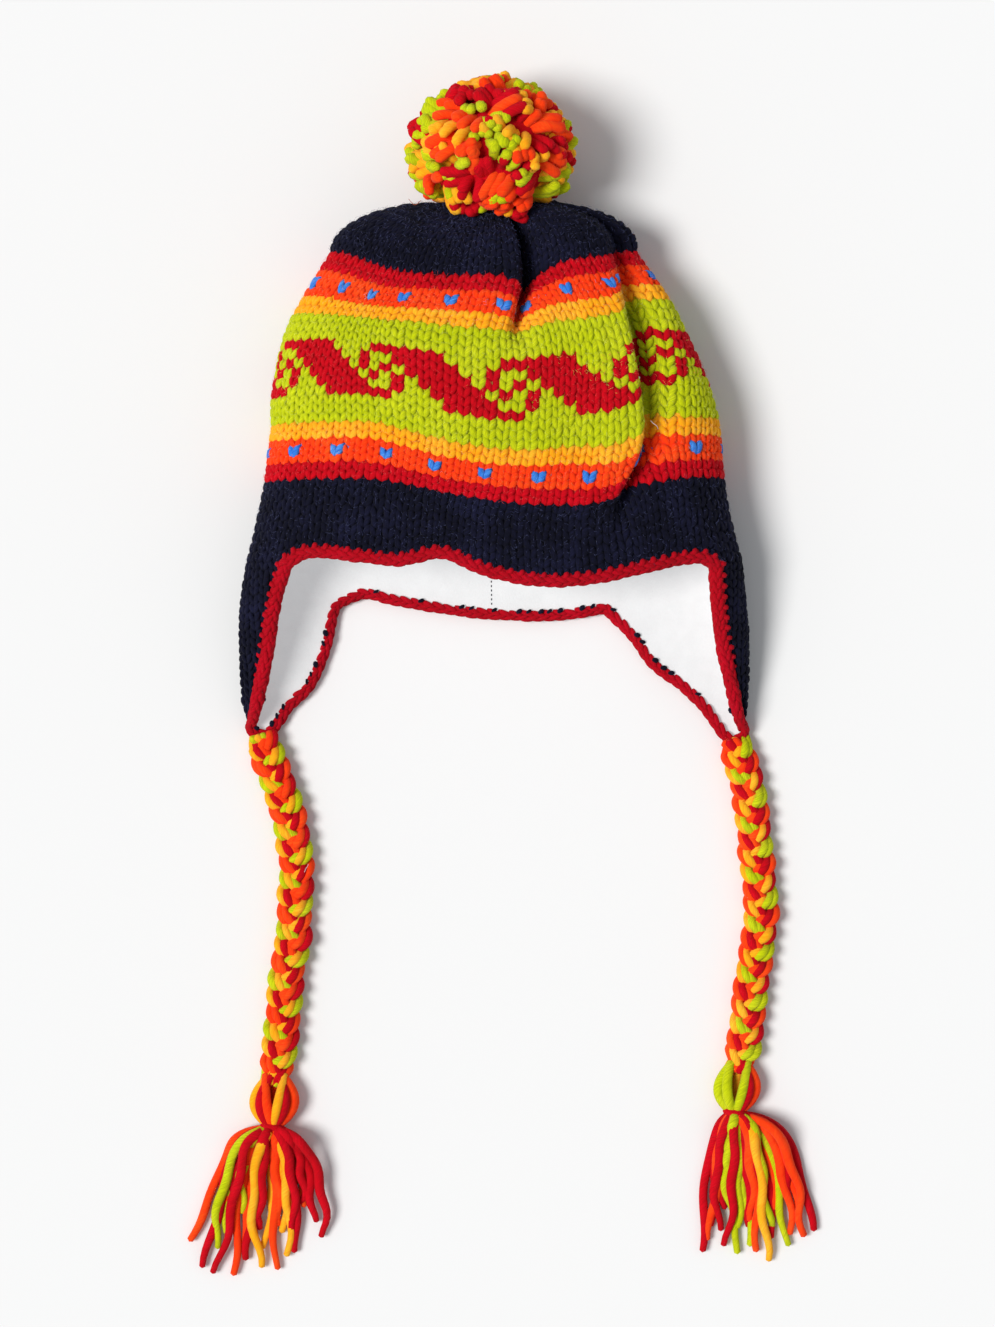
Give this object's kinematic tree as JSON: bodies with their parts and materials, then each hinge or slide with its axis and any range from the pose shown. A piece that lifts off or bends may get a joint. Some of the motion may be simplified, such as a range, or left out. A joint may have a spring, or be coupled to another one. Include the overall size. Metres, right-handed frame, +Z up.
{
  "type": "pom-pom hat with ear flaps",
  "caption": "Hand-knitted winter hat with ear flaps, fleece lining, crocheted edge, yarn pompom and two braided ties, lying on its back.",
  "frame": {"origin": "bottom centre of the hat and its pompom, without the ties, on the surface that it lies on", "axes": "+X across the hat, +Y from the brow towards the pompom, +Z up from the surface, out of the front of the hat"},
  "size_m": [0.3342, 0.6279, 0.0895],
  "materials": {
    "knit": "chunky knitted wool, navy with red, orange, yellow and green bands",
    "lining": "white fleece",
    "edging": "crocheted red wool",
    "pompom": "cut yarn in red, orange, amber and lime",
    "ties": "braided yarn in red, orange, amber and lime"
  },
  "bodies": {
    "root": {"knit_shell": "knit", "fleece_lining": "lining", "crochet_edging": "edging", "pompom": "pompom", "left_tie": "ties", "right_tie": "ties", "left_tassel": "ties", "right_tassel": "ties"}
  },
  "joints": []
}
